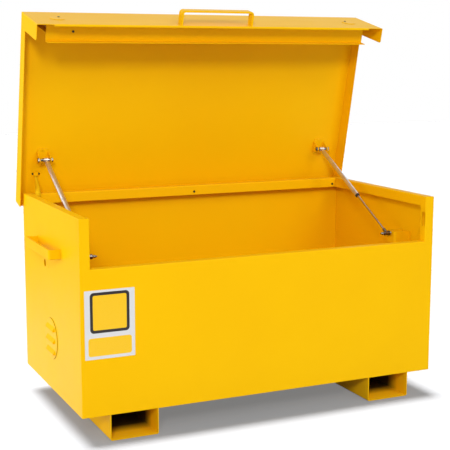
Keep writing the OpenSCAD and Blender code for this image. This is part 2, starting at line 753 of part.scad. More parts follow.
// Ball socket across the end of the rod, with a nosed inner end, a spring clip groove and a collar on the rod
module rod_socket() on_strut() difference() {
    union() {
        translate([0, 0, strut_len]) rotate([0, 90, 0]) rotate_extrude() polygon([
            [0, -socket_in], [3, -socket_in], [5, -socket_in + 8], [5, -socket_in + 12],
            [socket_r, -socket_in + 15], [socket_r, socket_out - 5], [socket_r - 1, socket_out - 5],
            [socket_r - 1, socket_out - 4], [clip_r, socket_out - 4], [clip_r, socket_out - 2],
            [socket_r, socket_out - 2], [socket_r - 1, socket_out], [0, socket_out]
        ]);
        translate([0, 0, strut_len - socket_r - 16]) cylinder(r = 6, h = socket_r + 14);
    }
    translate([0, 0, strut_len - socket_r - 20]) cylinder(d = rod_dia, h = 18);
    translate([socket_out - 5, 0, strut_len]) rotate([0, 90, 0]) cylinder(r = 5.5, h = 10);
}

module right_rod_socket() color(dark) rod_socket();
module left_rod_socket() color(dark) to_left() rod_socket();

front_panel();
left_side_panel();
right_side_panel();
rear_panel();
floor_pan();
left_skid();
right_skid();
left_side_handle();
right_side_handle();
left_vent_cover();
right_vent_cover();
sign_plate();
left_lower_bracket();
right_lower_bracket();
left_ball_stud();
right_ball_stud();
left_hinge_body_leaf();
middle_hinge_body_leaf();
right_hinge_body_leaf();
left_hinge_pin();
middle_hinge_pin();
right_hinge_pin();
lid_shell();
lock_channel();
channel_cover();
lid_handle();
left_hinge_lid_leaf();
middle_hinge_lid_leaf();
right_hinge_lid_leaf();
left_upper_bracket();
right_upper_bracket();
left_strut_pin();
right_strut_pin();
left_lock_case();
right_lock_case();
left_lock_bolt();
right_lock_bolt();
left_key_cover();
right_key_cover();
left_cover_rivet();
right_cover_rivet();
strap_saddle();
lid_strap();
left_strut_tube();
right_strut_tube();
left_strut_seal();
right_strut_seal();
left_strut_rod();
right_strut_rod();
left_rod_socket();
right_rod_socket();
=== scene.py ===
"""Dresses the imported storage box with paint, plating, a strap and welds, and sets stage, lights and camera.

Metres, Z up, front towards -Y, in the frame of the CAD model. Left and right are as seen from the front.
"""
from __future__ import annotations

import logging
import math
from dataclasses import dataclass, field
from enum import Enum
from typing import Iterable, Sequence

import bmesh
import bpy
from mathutils import Matrix, Vector

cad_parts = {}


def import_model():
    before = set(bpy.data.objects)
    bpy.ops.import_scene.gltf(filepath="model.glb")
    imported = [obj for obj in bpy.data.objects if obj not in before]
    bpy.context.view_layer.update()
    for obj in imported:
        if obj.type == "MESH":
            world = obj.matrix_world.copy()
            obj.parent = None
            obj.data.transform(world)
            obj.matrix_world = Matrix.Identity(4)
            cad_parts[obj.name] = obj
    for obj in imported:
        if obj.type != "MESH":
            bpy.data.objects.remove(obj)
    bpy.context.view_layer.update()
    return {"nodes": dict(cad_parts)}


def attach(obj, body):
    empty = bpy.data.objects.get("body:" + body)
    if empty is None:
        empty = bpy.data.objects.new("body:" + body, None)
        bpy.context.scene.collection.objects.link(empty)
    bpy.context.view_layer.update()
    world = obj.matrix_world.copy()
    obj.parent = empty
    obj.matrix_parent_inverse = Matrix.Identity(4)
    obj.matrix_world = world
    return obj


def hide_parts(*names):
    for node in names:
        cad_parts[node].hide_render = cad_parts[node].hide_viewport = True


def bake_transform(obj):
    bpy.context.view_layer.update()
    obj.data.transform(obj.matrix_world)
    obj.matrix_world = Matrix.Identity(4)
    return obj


LOG = logging.getLogger("storage_box")
Colour = tuple[float, float, float]
Point = tuple[float, float, float]
Span = tuple[float, float]
Waves = tuple[float, ...]
Socket = bpy.types.NodeSocket
Sockets = bpy.types.bpy_prop_collection
WHITE = (1.0, 1.0, 1.0, 1.0)
SQUARE = ((-1, -1), (1, -1), (1, 1), (-1, 1))


class Side(Enum):
    """The two ends of the box, as the sign of X."""

    LEFT = -1
    RIGHT = 1


class Body(Enum):
    """Names of the moving bodies."""

    BOX = "box_body"
    LID = "lid"


class Kind(Enum):
    """What a socket of a node group carries."""

    NUMBER = "NodeSocketFloat"
    COLOUR = "NodeSocketColor"
    VECTOR = "NodeSocketVector"
    SHAPE = "NodeSocketGeometry"
    MATERIAL = "NodeSocketMaterial"


@dataclass(frozen=True)
class BoxSizes:
    """Sizes and places of the CAD model that the dressing needs, in metres."""

    half_width: float = 0.625
    skid_top: float = 0.083
    depth_shift: float = 0.02759
    open_angle: float = math.radians(76.6)
    hinge_y: float = 0.329
    hinge_z: float = 0.645
    lid_front: float = -0.3325
    lid_under: float = 0.695

    def world(self, x: float, y: float, z: float) -> Vector:
        """A point in the row frame, where y was given from the middle of the body's depth."""
        return Vector((x, y - self.depth_shift, z))

    def opened(self, x: float, y: float, z: float) -> Vector:
        """Where a point of the closed lid stands with the lid open.

        Args:
            x: Place across the lid.
            y: Place on the closed lid, from the middle of the body's depth.
            z: Height on the closed lid.

        Returns:
            The point in the row frame with the lid open.
        """
        dy = y - self.hinge_y
        dz = z - self.hinge_z
        c = math.cos(self.open_angle)
        s = math.sin(self.open_angle)
        return self.world(x, self.hinge_y + dy * c + dz * s, self.hinge_z - dy * s + dz * c)

    def opened_turn(self) -> Matrix:
        """The turn that takes a direction on the closed lid to the open lid."""
        return Matrix.Rotation(-self.open_angle, 3, "X")


SIZES = BoxSizes()


class Graph:
    """Short calls that make nodes and links in one node tree."""

    def __init__(self, tree: bpy.types.NodeTree) -> None:
        """Keep the tree that the calls add to."""
        self.tree = tree

    def node(self, kind: str, **settings: object) -> bpy.types.Node:
        """Add a node.

        Args:
            kind: The node's type name.
            settings: Properties to set on it.

        Returns:
            The new node.
        """
        made = self.tree.nodes.new(kind)
        for name, value in settings.items():
            setattr(made, name, value)
        return made

    def join(self, value: object, socket: Socket) -> None:
        """Link an output to a socket, or set the socket's own value.

        Args:
            value: An output socket or a plain value.
            socket: The input that takes it.
        """
        if isinstance(value, bpy.types.NodeSocket):
            self.tree.links.new(value, socket)
            return
        if isinstance(value, tuple) and len(value) == 3 and socket.type == "RGBA":
            value = (*value, 1.0)
        socket.default_value = value

    def add(self, kind: str, inputs: dict[int | str, object], out: int = 0, **settings: object) -> Socket:
        """Add a node and join its inputs.

        Args:
            kind: The node's type name.
            inputs: Sockets or plain values, by the input's number or name.
            out: Number of the output that is wanted.
            settings: Properties to set on the node.

        Returns:
            The node's output.
        """
        made = self.node(kind, **settings)
        for key, value in inputs.items():
            self.join(value, made.inputs[key])
        return made.outputs[out]

    def coordinates(self, kind: str = "Object") -> Socket:
        """One output of a Texture Coordinate node."""
        return self.node("ShaderNodeTexCoord").outputs[kind]

    def split(self, value: Socket) -> Sockets:
        """The X, Y and Z of a vector."""
        return self.add("ShaderNodeSeparateXYZ", {0: value}).node.outputs

    def ray(self, kind: str) -> Socket:
        """One output of a Light Path node."""
        return self.node("ShaderNodeLightPath").outputs[kind]

    def maths(self, operation: str, *values: object, clamp: bool = False) -> Socket:
        """The result of a Math node on sockets or numbers, held between 0 and 1 if it is clamped."""
        return self.add("ShaderNodeMath", dict(enumerate(values)), operation=operation, use_clamp=clamp)

    def sway(self, noise: Socket, middle: Socket, reach: float) -> Socket:
        """A value that follows a noise by half its reach to either side of a middle."""
        return self.maths("MULTIPLY_ADD", noise, reach, self.maths("SUBTRACT", middle, reach / 2))

    def span(
        self, value: Socket, low: float, high: float, to_low: float = 0.0, to_high: Socket | float = 1.0,
    ) -> Socket:
        """A value mapped from the range low to high to the range to_low to to_high, and held in it."""
        return self.add("ShaderNodeMapRange", dict(enumerate((value, low, high, to_low, to_high))))

    def noise(self, place: Socket, scale: object, detail: float = 3.0, roughness: float = 0.5) -> Socket:
        """The value of a noise by waves to a metre, octaves and the strength of the finer octaves."""
        inputs = {"Vector": place, "Scale": scale, "Detail": detail, "Roughness": roughness}
        return self.add("ShaderNodeTexNoise", inputs)

    def mix(self, share: object, a: object, b: object) -> Socket:
        """A mix of two colours, where share says how much of b shows."""
        # The node's colour sockets come after its sockets for numbers and vectors.
        return self.add("ShaderNodeMix", {0: share, 6: a, 7: b}, 2, data_type="RGBA")

    def bump(self, height: Socket, strength: float, distance: object, normal: Socket | None = None) -> Socket:
        """Add a Bump node.

        Args:
            height: The height that shapes it.
            strength: How strong it is.
            distance: How deep it is in metres.
            normal: A normal that it adds to, if any.

        Returns:
            The normal's socket.
        """
        inputs = {"Height": height, "Strength": strength, "Distance": distance}
        if normal is not None:
            inputs["Normal"] = normal
        return self.add("ShaderNodeBump", inputs)


class SharedTree:
    """A node group that is built once and shared.

    It takes numbers and colours, which stand here with their own values, and sockets of another kind.
    """

    name = "Shared"
    kind = "ShaderNodeTree"
    takes: dict[str, object] = {}
    gives: dict[str, Kind] = {}

    @classmethod
    def tree(cls) -> bpy.types.NodeTree:
        """Find the group's tree, or build it on its first use.

        Returns:
            The tree.
        """
        found = bpy.data.node_groups.get(cls.name)
        if found:
            return found
        made = bpy.data.node_groups.new(cls.name, cls.kind)
        for name, value in cls.takes.items():
            plain_kind = Kind.NUMBER if isinstance(value, float) else Kind.COLOUR
            kind = value if isinstance(value, Kind) else plain_kind
            socket = made.interface.new_socket(name, in_out="INPUT", socket_type=kind.value)
            if kind is plain_kind:
                socket.default_value = value
        for name, kind in cls.gives.items():
            made.interface.new_socket(name, in_out="OUTPUT", socket_type=kind.value)
        graph = Graph(made)
        given = cls.fill(graph, graph.node("NodeGroupInput").outputs)
        result = graph.node("NodeGroupOutput").inputs
        for name, value in given.items():
            graph.join(value, result[name])
        return made

    @classmethod
    def fill(cls, graph: Graph, source: Sockets) -> dict[str, Socket]:
        """Add the group's nodes to its graph, from what it takes, and return what it gives."""
        raise NotImplementedError


class EffectGroup(SharedTree):
    """A surface effect that several finishes share.

    A span is a range that is read. Waves are a noise's scale, detail and roughness.
    """

    gives = {"Colour": Kind.COLOUR, "Roughness": Kind.NUMBER, "Normal": Kind.VECTOR}

    @classmethod
    def place(cls, graph: Graph, **values: object) -> dict[str, Socket]:
        """Put the group into a material, with values by the input's name, and return what it gives."""
        inputs = {name.replace("_", " "): value for name, value in values.items()}
        return dict(graph.add("ShaderNodeGroup", inputs, node_tree=cls.tree()).node.outputs.items())


class PaintFilm(EffectGroup):
    """Sprayed powder paint: slow colour drift, orange peel, slightly wavy sheet, dust on top faces, and
    painted shade where a finish asks for it.
    """

    name = "Paint Film"
    takes = {
        "Colour": WHITE,
        "Thin Colour": WHITE,
        "Drift Scale": 2.0,
        "Peel Scale": 260.0,
        "Peel Depth": 0.00006,
        "Wave Depth": 0.0006,
        "Gloss": 0.34,
        "Dust": 0.06,
        "Edge Radius": 0.002,
        "Bare": 0.0,
    }
    drift_span: Span = (0.35, 0.65)
    speck_waves: Waves = (140.0, 6.0, 0.65)
    speck_span: Span = (0.48, 0.72)
    upward_span: Span = (0.55, 0.95)
    dust_colour: Colour = (0.62, 0.58, 0.5)
    dust_roughness: float = 0.5
    # Near-black painted shade, mixed in where a finish's shade mask is up, such as deep in the skid pockets
    # and on the vent rims.
    bare_colour: Colour = (0.06, 0.035, 0.004)
    smear_waves: Waves = (9.0, 5.0, 0.6)
    smear_reach: float = 0.1
    edge_samples: int = 4
    sheet_waves: Waves = (2.6, 1.0)
    peel_detail: float = 2.0

    @classmethod
    def fill(cls, graph: Graph, source: Sockets) -> dict[str, Socket]:
        """Add the paint's nodes.

        Args:
            graph: The group's graph.
            source: What the group takes.

        Returns:
            What it gives.
        """
        place = graph.coordinates()
        drift = graph.noise(place, source["Drift Scale"])
        film = graph.mix(graph.span(drift, *cls.drift_span), source["Thin Colour"], source["Colour"])
        facing = graph.split(graph.node("ShaderNodeNewGeometry").outputs["Normal"])
        specks = graph.span(graph.noise(place, *cls.speck_waves), *cls.speck_span)
        dust = graph.maths("MULTIPLY", specks, graph.span(facing[2], *cls.upward_span))
        dust = graph.maths("MULTIPLY", dust, source["Dust"])
        film = graph.mix(dust, film, cls.dust_colour)
        rough = graph.sway(graph.noise(place, *cls.smear_waves), source["Gloss"], cls.smear_reach)
        edge = graph.add("ShaderNodeBevel", {"Radius": source["Edge Radius"]}, samples=cls.edge_samples)
        wave = graph.bump(graph.noise(place, *cls.sheet_waves), 1.0, source["Wave Depth"], edge)
        peel = graph.noise(place, source["Peel Scale"], cls.peel_detail)
        return {
            # Painted shade: the mask takes the film towards near black.
            "Colour": graph.mix(source["Bare"], film, cls.bare_colour),
            "Roughness": graph.maths("MULTIPLY_ADD", dust, cls.dust_roughness, rough, clamp=True),
            "Normal": graph.bump(peel, 1.0, source["Peel Depth"], wave),
        }


class MetalGrain(EffectGroup):
    """Drawn or plated metal: fine streaks, clouding and small scratches."""

    name = "Metal Grain"
    takes = {"Colour": WHITE, "Stained Colour": WHITE, "Grain Scale": 600.0, "Gloss": 0.3}
    cloud_waves: Waves = (55.0, 4.0)
    cloud_span: Span = (0.4, 0.7)
    stretch: Point = (1.0, 0.06, 0.06)
    streak_detail: Waves = (3.0, 0.6)
    streak_reach: float = 0.14
    streak_depth: float = 0.00002

    @classmethod
    def fill(cls, graph: Graph, source: Sockets) -> dict[str, Socket]:
        """Add the metal's nodes.

        Args:
            graph: The group's graph.
            source: What the group takes.

        Returns:
            What it gives.
        """
        place = graph.coordinates()
        cloud = graph.span(graph.noise(place, *cls.cloud_waves), *cls.cloud_span)
        drawn = graph.add("ShaderNodeVectorMath", {0: place, 1: cls.stretch}, operation="MULTIPLY")
        streaks = graph.noise(drawn, source["Grain Scale"], *cls.streak_detail)
        return {
            "Colour": graph.mix(cloud, source["Colour"], source["Stained Colour"]),
            "Roughness": graph.sway(streaks, source["Gloss"], cls.streak_reach),
            "Normal": graph.bump(streaks, 1.0, cls.streak_depth),
        }


class RoundedField(EffectGroup):
    """A mask that is 1 inside an upright rectangle with round corners, read along X and Z."""

    name = "Rounded Field"
    takes = {"Centre X": 0.0, "Centre Z": 0.0, "Half Width": 0.1, "Half Height": 0.1, "Radius": 0.01}
    gives = {"Mask": Kind.NUMBER}
    edge: float = 0.0002

    @classmethod
    def fill(cls, graph: Graph, source: Sockets) -> dict[str, Socket]:
        """Add the nodes that measure the distance to the outline.

        Args:
            graph: The group's graph.
            source: What the group takes.

        Returns:
            What it gives.
        """
        parts = graph.split(graph.coordinates())
        squares = []
        for axis, centre, half in ((0, "Centre X", "Half Width"), (2, "Centre Z", "Half Height")):
            off = graph.maths("ABSOLUTE", graph.maths("SUBTRACT", parts[axis], source[centre]))
            reach = graph.maths("SUBTRACT", source[half], source["Radius"])
            past = graph.maths("MAXIMUM", graph.maths("SUBTRACT", off, reach), 0.0)
            squares.append(graph.maths("POWER", past, 2.0))
        away = graph.maths("SUBTRACT", graph.maths("SQRT", graph.maths("ADD", *squares)), source["Radius"])
        return {"Mask": graph.span(away, -cls.edge, cls.edge, 1.0, 0.0)}


class WebbingWeave(EffectGroup):
    """Flat webbing: crossed ribs read from the strap's own UV map."""

    name = "Webbing Weave"
    takes = {"Colour": WHITE, "Gap Colour": WHITE, "Ribs Across": 14.0, "Ribs Along": 90.0}
    gives = {"Colour": Kind.COLOUR, "Normal": Kind.VECTOR}
    thread_span: Span = (0.0, 0.5)
    thread_strength: float = 0.8
    thread_depth: float = 0.0003

    @classmethod
    def fill(cls, graph: Graph, source: Sockets) -> dict[str, Socket]:
        """Add the weave's nodes.

        Args:
            graph: The group's graph.
            source: What the group takes.

        Returns:
            What it gives.
        """
        parts = graph.split(graph.coordinates("UV"))
        waves = []
        for axis, ribs in ((0, "Ribs Across"), (1, "Ribs Along")):
            turn = graph.maths("MULTIPLY", parts[axis], source[ribs])
            waves.append(graph.maths("SINE", graph.maths("MULTIPLY", turn, math.tau)))
        thread = graph.maths("ABSOLUTE", graph.maths("MULTIPLY", *waves))
        shown = graph.span(thread, *cls.thread_span)
        return {
            "Colour": graph.mix(shown, source["Gap Colour"], source["Colour"]),
            "Normal": graph.bump(thread, cls.thread_strength, cls.thread_depth),
        }


def fresh_graph(owner: bpy.types.Material | bpy.types.World) -> Graph:
    """Turn on the nodes of a material or world, and empty them.

    Args:
        owner: The material or world.

    Returns:
        Its empty graph.
    """
    owner.use_nodes = True
    owner.node_tree.nodes.clear()
    return Graph(owner.node_tree)


@dataclass(frozen=True)
class Finish:
    """A material made once under its own name."""

    name: str

    def material(self) -> bpy.types.Material:
        """Find the finish's material, or build it on its first use.

        Returns:
            The material.
        """
        found = bpy.data.materials.get(self.name)
        if found:
            return found
        made = bpy.data.materials.new(self.name)
        graph = fresh_graph(made)
        looks = self.looks(graph)
        looks["Base Color"] = looks.pop("Colour")
        shader = graph.add("ShaderNodeBsdfPrincipled", looks)
        graph.join(shader, graph.node("ShaderNodeOutputMaterial").inputs[0])
        return made

    def looks(self, graph: Graph) -> dict[str, object]:
        """What the Principled BSDF takes, by the input's name, with Colour for Base Color."""
        raise NotImplementedError


@dataclass(frozen=True)
class PowderCoat(Finish):
    """Semi-gloss powder paint on sheet steel."""

    colour: Colour = (0.95, 0.535, 0.0015)
    thin: Colour = (0.93, 0.51, 0.0015)
    gloss: float = 0.34
    drift: float = 2.0
    wave: float = 0.0006
    dust: float = 0.06
    mirror: float = 0.05

    def bare(self, graph: Graph) -> object:
        """How strongly shade is painted over the paint, from 0 to 1, as a number or a socket."""
        return 0.0

    def looks(self, graph: Graph) -> dict[str, object]:
        """The paint film with a weak mirror."""
        film = PaintFilm.place(
            graph, Colour=self.colour, Thin_Colour=self.thin, Drift_Scale=self.drift,
            Wave_Depth=self.wave, Gloss=self.gloss, Dust=self.dust, Bare=self.bare(graph),
        )
        return film | {"Specular IOR Level": self.mirror}


@dataclass(frozen=True)
class PocketShadedSkidCoat(PowderCoat):
    """The same paint on the fork skids, with painted shade darkening the inside of the pocket."""

    inner_walls: Span = (0.3812, 0.5358)
    fades: Span = (0.235, 0.295)

    def bare(self, graph: Graph) -> Socket:
        """A mask of painted shade on the pocket's inside, which fades out towards both open ends.

        Args:
            graph: The material's graph.

        Returns:
            The mask's socket.
        """
        parts = graph.split(graph.coordinates())
        across = graph.maths("ABSOLUTE", parts[0])
        inside = graph.maths("GREATER_THAN", across, self.inner_walls[0])
        inside = graph.maths("MULTIPLY", inside, graph.maths("LESS_THAN", across, self.inner_walls[1]))
        deep = graph.span(graph.maths("ABSOLUTE", parts[1]), *self.fades, 1.0, 0.0)
        return graph.maths("MULTIPLY", inside, deep)


@dataclass(frozen=True)
class RimShadedVentCoat(PowderCoat):
    """The same paint on the vent dishes, with painted shade along the rim that meets the panel."""

    middle: Span = (-0.0316, 0.2540)
    rim: Span = (0.0659, 0.0676)
    # How dark the painted shade on the rim gets.
    rim_shade: float = 0.55

    def bare(self, graph: Graph) -> Socket:
        """A mask of painted shade on the dish's rim.

        Args:
            graph: The material's graph.

        Returns:
            The mask's socket.
        """
        parts = graph.split(graph.coordinates())
        along = graph.maths("SUBTRACT", parts[1], self.middle[0])
        up = graph.maths("SUBTRACT", parts[2], self.middle[1])
        square = graph.maths("MULTIPLY_ADD", along, along, graph.maths("MULTIPLY", up, up))
        return graph.span(graph.maths("SQRT", square), *self.rim, 0.0, self.rim_shade)


@dataclass(frozen=True)
class PlatedMetal(Finish):
    """Zinc, nickel or chrome on steel."""

    colour: Colour = (0.6, 0.6, 0.6)
    stained: Colour = (0.45, 0.44, 0.43)
    gloss: float = 0.3

    def looks(self, graph: Graph) -> dict[str, object]:
        """The metal grain on full metal."""
        grain = MetalGrain.place(graph, Colour=self.colour, Stained_Colour=self.stained, Gloss=self.gloss)
        return grain | {"Metallic": 1.0}


@dataclass(frozen=True)
class FineGrain(Finish):
    """A dull surface with a fine grain, rubbed on its peaks; here black rubber."""

    colour: Colour = (0.018, 0.017, 0.016)
    rubbed: Colour = (0.03, 0.029, 0.028)
    waves: Waves = (900.0, 4.0)
    rubbed_span: Waves = (0.3, 0.7)
    rough_span: Waves = (0.2, 0.8, 0.5, 0.7)
    strength: float = 0.6
    depth: float = 0.00005

    def face(self, graph: Graph, plain: Socket) -> Socket:
        """What shows over the plain colour; here nothing."""
        return plain

    def looks(self, graph: Graph) -> dict[str, object]:
        """Lay the grain.

        Args:
            graph: The material's graph.

        Returns:
            What the shader takes.
        """
        grain = graph.noise(graph.coordinates(), *self.waves)
        plain = graph.mix(graph.span(grain, *self.rubbed_span), self.colour, self.rubbed)
        return {
            "Colour": self.face(graph, plain),
            "Roughness": graph.span(grain, *self.rough_span),
            "Normal": graph.bump(grain, self.strength, self.depth),
        }


@dataclass(frozen=True)
class StrapWebbing(Finish):
    """Yellow woven webbing."""

    colour: Colour = (1.0, 0.64, 0.002)
    gap: Colour = (0.95, 0.56, 0.001)
    roughness: float = 0.75
    mirror: float = 0.15

    def looks(self, graph: Graph) -> dict[str, object]:
        """The weave, dull and hardly mirroring."""
        weave = WebbingWeave.place(graph, Colour=self.colour, Gap_Colour=self.gap)
        return weave | {"Roughness": self.roughness, "Specular IOR Level": self.mirror}


@dataclass(frozen=True)
class PrintedField:
    """One rounded field printed on the sign plate, in metres from the plate's upper left corner."""

    down: float
    width: float
    height: float
    radius: float
    ink: Colour
    across: float = 0.079


SIGN_DARK: Colour = (0.022, 0.016, 0.017)
SIGN_YELLOW: Colour = (0.93, 0.55, 0.003)


@dataclass(frozen=True)
class SignPrint(FineGrain):
    """A white plate with blank printed fields: a framed square above a strip."""

    colour: Colour = (0.7, 0.7, 0.71)
    rubbed: Colour = (0.6, 0.6, 0.62)
    waves: Waves = (700.0, 3.0)
    rubbed_span: Waves = (0.3, 0.7, 0.0, 0.05)
    rough_span: Waves = (0.3, 0.7, 0.26, 0.36)
    strength: float = 0.4
    depth: float = 0.00002
    corner_x: float = -0.613
    corner_z: float = 0.473
    fields: tuple[PrintedField, ...] = (
        PrintedField(down=0.069, width=0.124, height=0.124, radius=0.012, ink=SIGN_DARK),
        PrintedField(down=0.069, width=0.106, height=0.106, radius=0.005, ink=SIGN_YELLOW),
        PrintedField(down=0.1735, width=0.137, height=0.056, radius=0.008, ink=SIGN_YELLOW),
    )

    def face(self, graph: Graph, plain: Socket) -> Socket:
        """Print the fields on the plate.

        Args:
            graph: The material's graph.
            plain: The paper's colour.

        Returns:
            The printed colour.
        """
        for printed in self.fields:
            mask = RoundedField.place(
                graph, Centre_X=self.corner_x + printed.across, Centre_Z=self.corner_z - printed.down,
                Half_Width=printed.width / 2, Half_Height=printed.height / 2, Radius=printed.radius,
            )
            plain = graph.mix(mask["Mask"], plain, printed.ink)
        return plain


@dataclass(frozen=True)
class FinishSet:
    """Every finish of the box."""

    paint: PowderCoat = PowderCoat("yellow_powder_coat")
    inner_paint: PowderCoat = PowderCoat("yellow_powder_coat_inside", gloss=0.42, wave=0.0004, dust=0.03)
    # Painted shade: the skids' paint is a little more orange than the body's, standing in for the warm bounce
    # light on them, and it darkens inside the pockets.
    shaded_skid_paint: PocketShadedSkidCoat = PocketShadedSkidCoat(
        "yellow_powder_coat_skid", colour=(0.95, 0.515, 0.0015), thin=(0.93, 0.495, 0.0015),
        gloss=0.4, wave=0.0002,
    )
    bar_paint: PowderCoat = PowderCoat("yellow_powder_coat_bar", gloss=0.3, wave=0.0001, drift=12.0)
    # Painted shade: the vent dishes darken along their rims.
    rim_shaded_vent_paint: RimShadedVentCoat = RimShadedVentCoat("yellow_powder_coat_vent_painted_shade", gloss=0.3, wave=0.0001, drift=12.0)
    zinc: PlatedMetal = PlatedMetal("zinc_plate", (0.78, 0.75, 0.71), (0.58, 0.54, 0.48), gloss=0.36)
    nickel: PlatedMetal = PlatedMetal("dark_nickel", (0.3, 0.28, 0.25), (0.12, 0.11, 0.1), gloss=0.28)
    black: PlatedMetal = PlatedMetal("black_oxide", (0.05, 0.045, 0.04), (0.025, 0.02, 0.018), gloss=0.4)
    silver: PlatedMetal = PlatedMetal("brushed_silver", (0.7, 0.66, 0.62), (0.58, 0.54, 0.5), gloss=0.42)
    chrome: PlatedMetal = PlatedMetal("hard_chrome", (0.52, 0.46, 0.4), (0.44, 0.38, 0.33), gloss=0.24)
    rubber: FineGrain = FineGrain("seal_rubber")
    webbing: StrapWebbing = StrapWebbing("yellow_webbing")
    sign: SignPrint = SignPrint("sign_print")


FINISHES = FinishSet()


def both(*parts: str) -> list[str]:
    """Node names of parts that stand on the left and on the right."""
    return [f"{side.name.lower()}_{part}" for side in Side for part in parts]


def hinges(part: str) -> list[str]:
    """Node names of one part of all three hinges."""
    return [f"{place}_hinge_{part}" for place in ("left", "middle", "right")]


@dataclass
class Assembly:
    """A sub-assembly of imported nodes."""

    nodes: dict[str, bpy.types.Object]

    def dress(self, finish: Finish, *names: str) -> None:
        """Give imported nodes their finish.

        Args:
            finish: The finish that they get.
            names: The nodes to dress.
        """
        for name in names:
            mesh = self.nodes[name].data
            mesh.materials.clear()
            mesh.materials.append(finish.material())
            LOG.info("%s is dressed in %s", name, finish.name)


def new_object(name: str, data: bpy.types.ID) -> bpy.types.Object:
    """Put a mesh, light or camera into the scene under a name.

    Args:
        name: Name of the piece.
        data: Its mesh, light or camera.

    Returns:
        The new object at the origin.
    """
    made = bpy.data.objects.new(name, data)
    bpy.context.scene.collection.objects.link(made)
    return made


class GrownTree(SharedTree):
    """Geometry Nodes that grow pieces on the points or edges of a mesh."""

    kind = "GeometryNodeTree"
    gives = {"Geometry": Kind.SHAPE}


class BeadTree(GrownTree):
    """A rippled weld bead along every edge path of a mesh."""

    name = "Weld Bead"
    takes = {
        "Geometry": Kind.SHAPE,
        "Radius": 0.002,
        "Ripple": 0.12,
        "Pitch": 0.0035,
        "Finish": Kind.MATERIAL,
    }
    ring_spacing: float = 0.25
    ring_sides: int = 8

    @classmethod
    def fill(cls, graph: Graph, source: Sockets) -> dict[str, Socket]:
        """Add the nodes that sweep the rippled tube.

        Args:
            graph: The group's graph.
            source: What the group takes.

        Returns:
            What it gives.
        """
        path = graph.add("GeometryNodeMeshToCurve", {0: source["Geometry"]})
        step = graph.maths("MULTIPLY", source["Pitch"], cls.ring_spacing)
        path = graph.add("GeometryNodeResampleCurve", {"Curve": path, "Length": step}, mode="LENGTH")
        along = graph.node("GeometryNodeSplineParameter").outputs["Length"]
        turn = graph.maths("DIVIDE", graph.maths("MULTIPLY", along, math.tau), source["Pitch"])
        swell = graph.maths("MULTIPLY_ADD", graph.maths("SINE", turn), source["Ripple"], 1.0)
        thick = graph.maths("MULTIPLY", source["Radius"], swell)
        ring = graph.add("GeometryNodeCurvePrimitiveCircle", {"Resolution": cls.ring_sides, "Radius": 1.0})
        parts = {"Curve": path, "Profile Curve": ring, "Scale": thick, "Fill Caps": True}
        tube = graph.add("GeometryNodeRealizeInstances", {0: graph.add("GeometryNodeCurveToMesh", parts)})
        return {"Geometry": graph.add("GeometryNodeSetMaterial", {0: tube, "Material": source["Finish"]})}


class ScrewTree(GrownTree):
    """A domed screw head on every vertex of a mesh, with a thin hexagon standing on the crown whose own
    finish can paint the shade of a recess.
    """

    name = "Screw Heads"
    takes = {
        "Geometry": Kind.SHAPE,
        "Head Radius": 0.004,
        "Head Height": 0.002,
        "Recess Radius": 0.0018,
        "Lean": Kind.VECTOR,
        "Finish": Kind.MATERIAL,
        "Recess Finish": Kind.MATERIAL,
    }
    head_sides: int = 24
    recess_sides: int = 6
    crown_share: float = 0.8
    shoulder: float = 0.6
    recess_top: float = 1.04

    @classmethod
    def fill(cls, graph: Graph, source: Sockets) -> dict[str, Socket]:
        """Add the nodes that stack the head from drums and set it on each point.

        Args:
            graph: The group's graph.
            source: What the group takes.

        Returns:
            What it gives.
        """
        heads = graph.node("GeometryNodeJoinGeometry")
        crown = graph.maths("MULTIPLY", source["Head Radius"], cls.crown_share)
        for radius, low, high, sides, finish in (
            (source["Head Radius"], 0.0, cls.shoulder, cls.head_sides, "Finish"),
            (crown, cls.shoulder, 1.0, cls.head_sides, "Finish"),
            # The recess is not cut: its hexagon stands on the crown, and a darker finish on it is painted
            # shade.
            (source["Recess Radius"], 1.0, cls.recess_top, cls.recess_sides, "Recess Finish"),
        ):
            depth = graph.maths("MULTIPLY", source["Head Height"], high - low)
            size = {"Vertices": sides, "Radius": radius, "Depth": depth}
            drum = graph.add("GeometryNodeMeshCylinder", size)
            middle = graph.maths("MULTIPLY", source["Head Height"], (low + high) / 2)
            lift = graph.add("ShaderNodeCombineXYZ", {2: middle})
            drum = graph.add("GeometryNodeTransform", {0: drum, "Translation": lift})
            drum = graph.add("GeometryNodeSetMaterial", {0: drum, "Material": source[finish]})
            graph.join(drum, heads.inputs[0])
        turn = graph.add("FunctionNodeAlignRotationToVector", {"Vector": source["Lean"]}, axis="Z")
        parts = {"Points": source["Geometry"], "Instance": heads.outputs[0], "Rotation": turn}
        each = graph.add("GeometryNodeInstanceOnPoints", parts)
        return {"Geometry": graph.add("GeometryNodeRealizeInstances", {0: each})}


def grow(
    name: str, group: type[GrownTree], points: Sequence[Vector], edges: Sequence[tuple[int, int]],
    inputs: dict[str, object],
) -> bpy.types.Object:
    """Run a Geometry Nodes tree on points and edges, and keep the result as a plain mesh.

    Args:
        name: Name of the piece.
        group: The class of the tree to run.
        points: Vertices of the base mesh.
        edges: Edges of the base mesh.
        inputs: The tree's inputs by name.

    Returns:
        The finished object.
    """
    tree = group.tree()
    base_mesh = bpy.data.meshes.new(f"{name}_base")
    base_mesh.from_pydata([tuple(p) for p in points], list(edges), [])
    base = new_object(f"{name}_base", base_mesh)
    modifier = base.modifiers.new("grow", "NODES")
    modifier.node_group = tree
    keys = {item.name: item.identifier for item in tree.interface.items_tree if item.in_out == "INPUT"}
    for label, value in inputs.items():
        modifier[keys[label]] = value
    seen = base.evaluated_get(bpy.context.evaluated_depsgraph_get())
    mesh = bpy.data.meshes.new_from_object(seen)
    base.modifiers.clear()
    bpy.data.objects.remove(base)
    made = new_object(name, mesh)
    LOG.info("%s has %d faces", name, len(mesh.polygons))
    return made


